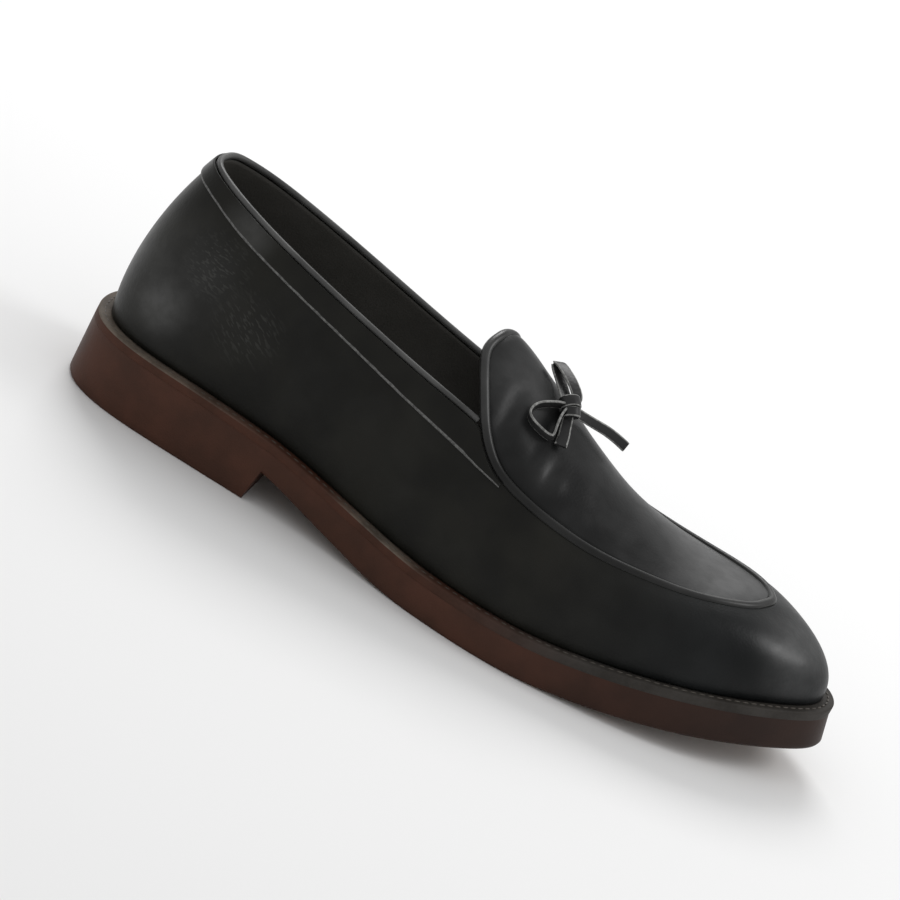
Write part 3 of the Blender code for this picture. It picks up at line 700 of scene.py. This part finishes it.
band = working_copy("collar_band", "collar_band_leather")
band.data.materials.append(leather("band_leather", LEATHER_COLOUR, LEATHER_SHADE, roughness=0.36,
                                   grain=GRAIN_DEPTH, polished=BAND_POLISH))
band.data.materials.append(pale_edge("band_edge_painted_highlight", BAND_HIGHLIGHT_COLOUR, BAND_HIGHLIGHT_SHADE))
push_faces(band, facing("topline_binding", BAND_NEAR), BAND_REACH)
pick_edges(band, lower_outer_edge)
# the bevel along the lower edge gets the pale finish, a painted highlight
bpy.ops.mesh.bevel(offset=BAND_HIGHLIGHT_WIDTH, segments=2, affect="EDGES", material=1)
crease_sharp(band, angle=50, weight=0.6)
subdivide(band)
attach(band, "root")
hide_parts("collar_band")

# Topline binding: thin leather rolled over the collar's edge, coloured a lighter grey than the upper.
# It is sewn round the collar and ends beside the tongue.
BINDING_COLOUR = (0.085, 0.085, 0.083)
BINDING_SHADE = (0.040, 0.040, 0.039)
BINDING_SWELL = 0.2 * MM


def swell(piece, amount):
    """Fattens a rounded tube back to the size of its solid."""
    only(piece)
    bpy.ops.object.mode_set(mode="EDIT")
    bpy.ops.mesh.select_all(action="SELECT")
    bpy.ops.transform.shrink_fatten(value=amount)
    bpy.ops.object.mode_set(mode="OBJECT")


binding = working_copy("topline_binding", "topline_roll")
crease_sharp(binding, angle=75, weight=0.6)
subdivide(binding)
swell(binding, BINDING_SWELL)
binding.data.materials.append(leather("rolled_leather", BINDING_COLOUR, BINDING_SHADE, roughness=0.40,
                                      grain=GRAIN_DEPTH, gloss=0.3))
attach(binding, "root")
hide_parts("topline_binding")

# Apron: plug of polished calf on the instep that runs up into the free tongue.
# It is sewn to the vamp along the piped seam, and is soft and lumpy under the bow that is tied on it.
APRON_COLOUR = (0.0095, 0.0098, 0.0098)
APRON_SHADE = (0.0055, 0.0057, 0.0057)
EDGE_REACH = 0.9 * MM
APRON_TOE = last(250.0, 0.0, 0.0).x
FLANK_FACING = 0.3
FLANK_TOP = 0.2
TOE_FACING = 0.7
APRON_GRAIN = 0.7 * GRAIN_DEPTH
# columns: x, y, z of the middle, radius in millimetres, weight of the polish there
APRON_POLISH = (
    (246.0, -4.0, 54.0, 34.0, 0.7),
    (225.0, 8.0, 57.0, 24.0, 0.15),
    (148.0, -18.0, 84.0, 20.0, 0.55),
    (174.0, -28.0, 64.0, 11.0, 0.4),
)
# columns: x, y, radius along x, radius along y, depth in millimetres (minus is a lump)
DENTS = (
    (152.0, -24.5, 3.2, 6.5, 2.0),
    (158.0, -27.5, 3.6, 3.5, -1.2),
    (167.0, -25.5, 2.4, 5.0, 1.2),
    (171.0, -29.5, 2.4, 4.0, -0.9),
    (175.5, -26.0, 2.2, 4.0, 1.0),
    (179.0, -28.0, 2.8, 3.2, -0.8),
    (189.0, -19.0, 5.0, 5.0, -0.5),
    (205.0, -19.0, 3.2, 9.0, 0.4),
    (214.0, 2.0, 7.0, 16.0, -0.4),
    (156.0, -5.0, 6.0, 8.0, -0.5),
    (168.5, -9.5, 6.0, 5.0, -0.9),
    (176.0, 18.0, 8.0, 9.0, 0.7),
)


def dent(piece, dents):
    """Moves a sheet down at each dent and up at each lump, fading out round it."""
    count = len(piece.data.vertices)
    flat = np.empty(count * 3)
    piece.data.vertices.foreach_get("co", flat)
    points = flat.reshape(-1, 3)
    for x, y, along, across, depth in dents:
        spot = last(x, y, 0.0)
        away = ((points[:, 0] - spot.x) / (along * MM)) ** 2 + ((points[:, 1] - spot.y) / (across * MM)) ** 2
        points[:, 2] -= depth * MM * np.exp(-away)
    piece.data.vertices.foreach_set("co", points.reshape(-1))
    piece.data.update()


def apron_border(centre, normal):
    """True on the narrow side of the apron, where it meets the piping."""
    outwards = normal.y * (centre.y - LAST_AXIS) > 0.0
    flank = outwards and abs(normal.y) > FLANK_FACING and normal.z < FLANK_TOP
    toe = normal.x > TOE_FACING and centre.x > APRON_TOE
    top = normal.x < -FLANK_FACING and normal.z > -FLANK_FACING
    return flank or toe or top


apron = working_copy("apron", "apron_leather_plug")
push_faces(apron, apron_border, EDGE_REACH)
crease_sharp(apron, angle=50, weight=0.8)
subdivide(apron)
dent(apron, DENTS)
apron.data.materials.append(leather("apron_finish", APRON_COLOUR, APRON_SHADE, roughness=0.38,
                                    grain=APRON_GRAIN, uneven=0.12, polished=APRON_POLISH))
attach(apron, "root")
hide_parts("apron")

# Apron piping: leather bead over a cord, caught in the seam round the apron and the tongue's edge.
# It is dark in the seam and rubbed to a shine on the tongue and at the toe.
PIPING_COLOUR = (0.017, 0.017, 0.0165)
PIPING_SHADE = (0.007, 0.007, 0.0067)
PIPING_SWELL = 0.5 * MM
PIPING_GRAIN = 0.04 * MM
# columns: x, y, z of the middle, radius in millimetres, weight of the polish there
PIPING_POLISH = (
    (146.0, -24.0, 86.0, 34.0, 0.9),
    (255.0, -15.0, 50.0, 40.0, 0.35),
)
piping = working_copy("apron_piping", "piping_bead")
subdivide(piping)
swell(piping, PIPING_SWELL)
piping.data.materials.append(leather("piping_finish", PIPING_COLOUR, PIPING_SHADE, roughness=0.36,
                                     grain=PIPING_GRAIN, gloss=0.2, polished=PIPING_POLISH))
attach(piping, "root")
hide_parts("apron_piping")

# Bow: flat leather lace tied on the apron: each length runs from a loop through the knot to a free end.
# The lace is dark on its faces and pale along its cut edges, and two wraps of it make the knot.
LACE_COLOUR = (0.020, 0.020, 0.020)
LACE_SHADE = (0.009, 0.009, 0.009)
LACE_EDGE_COLOUR = (0.30, 0.30, 0.29)
LACE_EDGE_SHADE = (0.13, 0.13, 0.125)
LACE_WIDTH = 3.6 * MM
LACE_THICK = 0.9 * MM
LACE_POINTS = 72
LACE_FACE = 1.55 * MM
LACE_GRAIN = 0.08 * MM
PATH_STEPS = 12
TURN_POINTS = 6
KNOT = (168.6, -9.4, 82.8)
KNOT_AXIS = (-2.2, 2.2, 2.4)
# columns: place along the knot, radius and height in millimetres, lean in degrees
KNOT_WRAPS = (
    (-1.9, 3.5, 3.6, 9.0),
    (1.5, 3.9, 4.2, -6.0),
)
WRAP_ROUND = 0.5 * MM
WRAP_BORE = 2.4 * MM
WRAP_CORNER = math.radians(60)
WRAP_RIM = 0.3
# the way a lace's width points, by part of the bow
LOOP_OUTER_WIDTH = (-0.10, -0.50, 0.86)
LOOP_INNER_WIDTH = (0.83, 0.42, 0.25)
END_OUTER_WIDTH = (0.97, 0.17, 0.18)
END_INNER_WIDTH = (0.04, 0.37, 0.93)
# columns: x, y, z in millimetres
LOOP_OUTER = (
    (167.2, -10.8, 82.9), (165.2, -12.5, 83.0), (162.2, -15.1, 82.3), (159.5, -18.1, 81.3),
    (158.1, -20.3, 79.8), (158.1, -22.2, 77.8), (160.3, -22.8, 76.1), (163.6, -22.6, 74.9),
    (166.9, -22.2, 74.1), (169.0, -21.6, 74.2), (168.9, -20.3, 75.9), (168.2, -18.0, 78.4),
    (167.8, -13.9, 81.1),
)
LOOP_INNER = (
    (166.9, -7.2, 83.2), (164.9, -4.4, 83.7), (159.8, 3.2, 85.5), (156.6, 7.4, 86.9),
    (155.6, 8.6, 88.2), (157.2, 6.8, 89.2), (160.6, 3.2, 89.0), (164.6, -0.6, 88.0),
    (168.6, -4.9, 85.7),
)
END_OUTER = (
    (170.1, -12.4, 79.2), (170.9, -14.5, 77.4), (172.1, -17.5, 75.0), (172.9, -20.4, 72.6),
)
END_INNER = (
    (170.3, -6.1, 81.3), (174.6, 0.0, 78.9), (178.4, 4.0, 77.4), (182.6, 8.0, 75.9),
    (186.8, 11.2, 74.2), (191.0, 14.0, 72.2),
)
lace_leather = leather("lace_leather", LACE_COLOUR, LACE_SHADE, roughness=0.42, grain=LACE_GRAIN, gloss=0.3)
lace_edge = pale_edge("lace_raw_edge", LACE_EDGE_COLOUR, LACE_EDGE_SHADE)

knot_axis = Vector(KNOT_AXIS).normalized()
bpy.ops.object.select_all(action="DESELECT")
wraps = []
for place, radius, height, lean in KNOT_WRAPS:
    turn = knot_axis.to_track_quat("Z", "X").to_matrix() @ Matrix.Rotation(math.radians(lean), 3, "Y")
    bpy.ops.mesh.primitive_cylinder_add(vertices=40, radius=radius * MM, depth=height * MM,
                                        location=last(*KNOT) + place * MM * knot_axis,
                                        rotation=turn.to_euler())
    wraps.append(bpy.context.object)
knot = join(wraps)
knot.name = "bow_knot_wraps"
bpy.ops.object.transform_apply(location=True, rotation=True, scale=True)
bpy.ops.object.modifier_add(type="BEVEL")
knot.modifiers[-1].width = WRAP_ROUND
knot.modifiers[-1].segments = 3
knot.modifiers[-1].angle_limit = WRAP_CORNER
bpy.ops.object.modifier_apply(modifier=knot.modifiers[-1].name)
bpy.ops.object.shade_smooth_by_angle(angle=SMOOTH_ANGLE)


def wrap_edge(centre, normal):
    """True on the rounded rims of the knot's wraps."""
    away = centre - last(*KNOT)
    aside = away - away.dot(knot_axis) * knot_axis
    return abs(normal.dot(knot_axis)) > WRAP_RIM and aside.length > WRAP_BORE


knot.data.materials.append(lace_leather)
knot.data.materials.append(lace_edge)
paint_second(knot, wrap_edge)
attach(knot, "root")
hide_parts("bow_knot")


def lace_path(nodes, count):
    """Smooth row of evenly spaced points through a lace's nodes, and its length."""
    points = [last(*node) for node in nodes]
    line = []
    for i in range(len(points) - 1):
        before = points[max(i - 1, 0)]
        after = points[min(i + 2, len(points) - 1)]
        for k in range(PATH_STEPS):
            t = k / PATH_STEPS
            a = 2 * points[i]
            b = points[i + 1] - before
            c = 2 * before - 5 * points[i] + 4 * points[i + 1] - after
            d = 3 * points[i] - before - 3 * points[i + 1] + after
            line.append(0.5 * (a + b * t + c * t * t + d * t ** 3))
    line.append(points[-1])
    line = np.array(line)
    run = np.concatenate([[0.0], np.cumsum(np.linalg.norm(np.diff(line, axis=0), axis=1))])
    at = np.linspace(0.0, run[-1], count)
    return np.column_stack([np.interp(at, run, line[:, i]) for i in range(3)]), run[-1]


def lace_tilts(points, knot_place, loop_width, end_width):
    """Tilt of a lace at each point that turns its width from the loop's way to the end's way at the knot."""
    along = np.gradient(points, axis=0)
    tilts = []
    for i in range(len(points)):
        share = min(max((i - knot_place) / TURN_POINTS + 0.5, 0.0), 1.0)
        width = Vector(loop_width).lerp(Vector(end_width), share)
        way = Vector(along[i]).normalized()
        rise = (Vector((0.0, 0.0, 1.0)) - way.z * way).normalized()
        tilt = math.atan2(width.dot(way.cross(rise)), width.dot(rise))
        turns = round((tilts[-1] - tilt) / math.pi) if tilts else 0
        tilts.append(tilt + turns * math.pi)
    return tilts


def bow_lace(name, solids, loop, end, loop_width, end_width, loop_scale, flare):
    """One length of flat lace: round its loop, through the knot and along its free end to a flared tip."""
    points, length = lace_path(loop + (KNOT,) + end, LACE_POINTS)
    knot_place = int(np.argmin(np.linalg.norm(points - np.array(last(*KNOT)), axis=1)))
    scales = np.interp(np.arange(LACE_POINTS), (0, knot_place - TURN_POINTS, knot_place, LACE_POINTS - 1),
                       (loop_scale, loop_scale, 1.0, flare))
    curve = bpy.data.curves.new(name, "CURVE")
    curve.dimensions = "3D"
    curve.twist_mode = "Z_UP"
    curve.extrude = (LACE_WIDTH - LACE_THICK) / 2
    curve.bevel_depth = LACE_THICK / 2
    curve.bevel_resolution = 2
    curve.use_fill_caps = True
    spline = curve.splines.new("POLY")
    spline.points.add(LACE_POINTS - 1)
    spline.use_smooth = True
    for i, tilt in enumerate(lace_tilts(points, knot_place, loop_width, end_width)):
        spline.points[i].co = (*points[i], 1.0)
        spline.points[i].tilt = tilt
        spline.points[i].radius = scales[i]

    def cut_edge(centre, normal):
        away = np.linalg.norm(points - centre, axis=1)
        return away.min() > LACE_FACE * scales[away.argmin()]

    lace = bpy.data.objects.new(name, curve)
    bpy.context.scene.collection.objects.link(lace)
    only(lace)
    bpy.ops.object.convert(target="MESH")
    lace.data.materials.append(lace_leather)
    lace.data.materials.append(lace_edge)
    paint_second(lace, cut_edge)
    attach(lace, "root")
    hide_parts(*solids)


bow_lace("bow_lace_outer_loop", ("bow_loop_outer", "bow_end_inner"), LOOP_OUTER, END_INNER,
         LOOP_OUTER_WIDTH, END_INNER_WIDTH, loop_scale=1.0, flare=1.1)
bow_lace("bow_lace_inner_loop", ("bow_loop_inner", "bow_end_outer"), LOOP_INNER, END_OUTER,
         LOOP_INNER_WIDTH, END_OUTER_WIDTH, loop_scale=1.15, flare=1.3)

# Studio: plain pale floor, two soft boxes on the inner side and at the toe, and an even white sky.
# The camera keeps the photograph's angle to the shoe, so it is rolled while the shoe stands level.
FLOOR_COLOUR = (0.82, 0.82, 0.82)
AIM = last(136.1, 19.6, 35.1)
CAMERA_AZIMUTH = 4.92
CAMERA_ELEVATION = 20.65
CAMERA_ROLL = 28.88
CAMERA_DISTANCE = 2.2007
CAMERA_LENS = 244.9
CAMERA_REACH = 50.0
FLOOR_SIZE = 12.0
WORLD_STRENGTH = 0.70
# columns: name, azimuth and elevation seen from the shoe in degrees, distance, size, watts
SOFT_BOXES = (
    ("inner_box", 203.0, 47.0, 1.6, 0.7, 11.5),
    ("toe_box", 103.0, 44.0, 1.4, 0.5, 4.2),
)


def seen_from_shoe(azimuth, elevation):
    """Direction from the shoe; azimuth 0 is its outer side and 90 its toe."""
    a = math.radians(azimuth)
    e = math.radians(elevation)
    return Vector((math.sin(a) * math.cos(e), -math.cos(a) * math.cos(e), math.sin(e)))


bpy.ops.object.select_all(action="DESELECT")
bpy.ops.mesh.primitive_plane_add(size=FLOOR_SIZE, location=(0.0, 0.0, 0.0))
floor = bpy.context.object
floor.name = "studio_floor"
look = Finish("floor_paper", Base_Color=FLOOR_COLOUR, Roughness=0.9, Specular_IOR_Level=0.1)
floor.data.materials.append(look.material)

for name, azimuth, elevation, distance, size, watts in SOFT_BOXES:
    box = bpy.data.lights.new(name, "AREA")
    box.energy = watts
    box.shape = "SQUARE"
    box.size = size
    lamp = bpy.data.objects.new(name, box)
    bpy.context.scene.collection.objects.link(lamp)
    way = seen_from_shoe(azimuth, elevation)
    lamp.location = way * distance
    lamp.rotation_euler = way.to_track_quat("Z", "Y").to_euler()
world = bpy.data.worlds.new("studio")
world.use_nodes = True
world.node_tree.nodes["Background"].inputs["Color"].default_value = (1.0, 1.0, 1.0, 1.0)
world.node_tree.nodes["Background"].inputs["Strength"].default_value = WORLD_STRENGTH
bpy.context.scene.world = world
bpy.context.scene.view_settings.view_transform = "Standard"

lens = bpy.data.cameras.new("photo_camera")
lens.lens = CAMERA_LENS
lens.sensor_width = 36.0
lens.clip_end = CAMERA_REACH
camera = bpy.data.objects.new("photo_camera", lens)
bpy.context.scene.collection.objects.link(camera)
back = seen_from_shoe(CAMERA_AZIMUTH, CAMERA_ELEVATION)
level = Vector((math.cos(math.radians(CAMERA_AZIMUTH)), math.sin(math.radians(CAMERA_AZIMUTH)), 0.0))
upright = back.cross(level)
roll = math.radians(CAMERA_ROLL)
picture_right = math.cos(roll) * level + math.sin(roll) * upright
picture_up = math.cos(roll) * upright - math.sin(roll) * level
camera.matrix_world = Matrix.Translation(AIM + CAMERA_DISTANCE * back) @ Matrix(
    (picture_right, picture_up, back)).transposed().to_4x4()
bpy.context.scene.camera = camera
